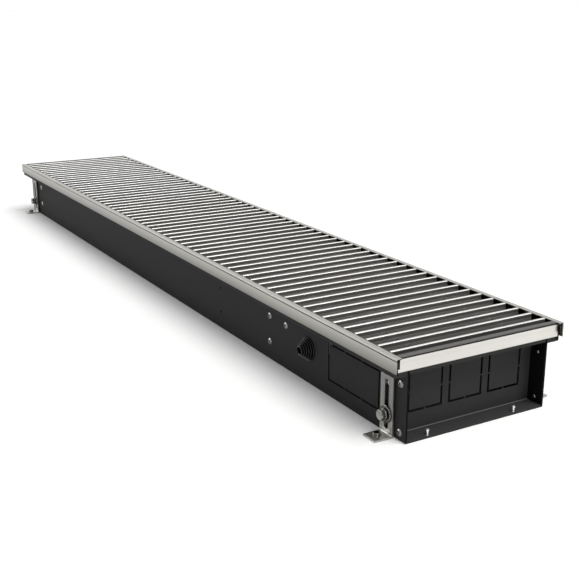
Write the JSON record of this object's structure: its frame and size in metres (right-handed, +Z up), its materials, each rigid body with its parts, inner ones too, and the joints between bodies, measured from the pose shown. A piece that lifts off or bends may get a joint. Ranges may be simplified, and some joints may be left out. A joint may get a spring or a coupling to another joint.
{
  "type": "trench convector heater",
  "caption": "Long black steel trench heater with an aluminium frame, a lift-out grille of cross bars, a finned water coil, a cross-flow fan and height-adjustable feet.",
  "frame": {"origin": "middle of the footprint at floor level", "axes": "+Z up; +X along the trough towards the end with the pipe knock-outs; -Y towards the long side with the cable grommet"},
  "size_m": [1.208, 0.221, 0.09],
  "materials": {
    "black_coat": "satin powder coat",
    "frame_metal": "satin anodised",
    "bar_metal": "satin anodised",
    "fin_metal": "mill finish",
    "sheet_metal": "mill finish",
    "plated_steel": "zinc plated, satin",
    "rivet_metal": "bare",
    "rod_metal": "drawn",
    "black_rubber": "matt",
    "copper_tube": "bare copper",
    "brass": "machined",
    "black_plastic": "fine grain",
    "grey_plastic": "fine grain",
    "white_plastic": "moulded",
    "lead_sheath": "smooth sheath"
  },
  "bodies": {
    "casing": {"casing_trough": "black_coat", "end_plate_near": "black_coat", "end_plate_far": "black_coat", "end_flange_rivets": "rivet_metal", "floor_rivets": "rivet_metal", "frame_side_front": "frame_metal", "frame_side_back": "frame_metal", "frame_end_near": "frame_metal", "frame_end_far": "frame_metal", "grille_seat_strips": "black_rubber", "clamp_bolts": "plated_steel", "spring_washers": "plated_steel", "flat_washers": "plated_steel", "spacer_rings": "plated_steel", "nut_plates": "plated_steel", "nut_plate_rivets": "rivet_metal", "cable_grommet": "black_rubber", "support_plate_near": "black_coat", "support_plate_far": "black_coat", "support_rivets": "rivet_metal", "coil_fins": "fin_metal", "coil_tubes": "copper_tube", "coil_return_bends": "copper_tube", "supply_block": "brass", "return_block": "brass", "air_vent_body": "brass", "shaft_bearings": "brass", "bearing_cushions": "black_rubber", "fan_motor": "grey_plastic", "motor_bracket": "plated_steel", "fan_guide_near": "sheet_metal", "fan_guide_far": "sheet_metal", "air_tongue": "sheet_metal", "terminal_box": "grey_plastic", "terminal_box_cover": "grey_plastic", "cover_screws": "plated_steel", "terminal_strip": "white_plastic", "box_rivet": "rivet_metal", "fan_lead": "lead_sheath"},
    "grille": {"grille_bars": "bar_metal", "grille_rods": "rod_metal", "grille_spacers": "black_plastic", "grille_rod_caps": "black_plastic"},
    "foot_near_front": {"foot_near_front": "plated_steel"},
    "level_screw_near_front": {"level_screw_near_front": "plated_steel"},
    "foot_near_back": {"foot_near_back": "plated_steel"},
    "level_screw_near_back": {"level_screw_near_back": "plated_steel"},
    "foot_far_front": {"foot_far_front": "plated_steel"},
    "level_screw_far_front": {"level_screw_far_front": "plated_steel"},
    "foot_far_back": {"foot_far_back": "plated_steel"},
    "level_screw_far_back": {"level_screw_far_back": "plated_steel"},
    "fan_rotor": {"fan_drum_near": "grey_plastic", "fan_drum_far": "grey_plastic", "fan_shaft": "rod_metal"},
    "air_vent_screw": {"air_vent_screw": "plated_steel"}
  },
  "joints": [
    {"name": "grille_lift", "type": "slide", "parent": "casing", "child": "grille", "axis": [0, 0, 1], "range_m": [0, 0.06]},
    {"name": "foot_slide_near_front", "type": "slide", "parent": "casing", "child": "foot_near_front", "axis": [0, 0, -1], "range_m": [-0.005, 0.028]},
    {"name": "foot_slide_near_back", "type": "slide", "parent": "casing", "child": "foot_near_back", "axis": [0, 0, -1], "range_m": [-0.005, 0.028]},
    {"name": "foot_slide_far_front", "type": "slide", "parent": "casing", "child": "foot_far_front", "axis": [0, 0, -1], "range_m": [-0.005, 0.028]},
    {"name": "foot_slide_far_back", "type": "slide", "parent": "casing", "child": "foot_far_back", "axis": [0, 0, -1], "range_m": [-0.005, 0.028]},
    {"name": "level_screw_travel_near_front", "type": "slide", "parent": "foot_near_front", "child": "level_screw_near_front", "axis": [0, 0, -1], "range_m": [0, 0.004]},
    {"name": "level_screw_travel_near_back", "type": "slide", "parent": "foot_near_back", "child": "level_screw_near_back", "axis": [0, 0, -1], "range_m": [0, 0.004]},
    {"name": "level_screw_travel_far_front", "type": "slide", "parent": "foot_far_front", "child": "level_screw_far_front", "axis": [0, 0, -1], "range_m": [0, 0.004]},
    {"name": "level_screw_travel_far_back", "type": "slide", "parent": "foot_far_back", "child": "level_screw_far_back", "axis": [0, 0, -1], "range_m": [0, 0.004]},
    {"name": "fan_spin", "type": "hinge", "parent": "casing", "child": "fan_rotor", "pos_m": [0, -0.053, 0.036], "axis": [1, 0, 0], "continuous": true},
    {"name": "air_vent_turn", "type": "hinge", "parent": "casing", "child": "air_vent_screw", "pos_m": [0.422, 0.0605, 0.04], "axis": [0, 0, 1], "range_deg": [0, 180]}
  ]
}
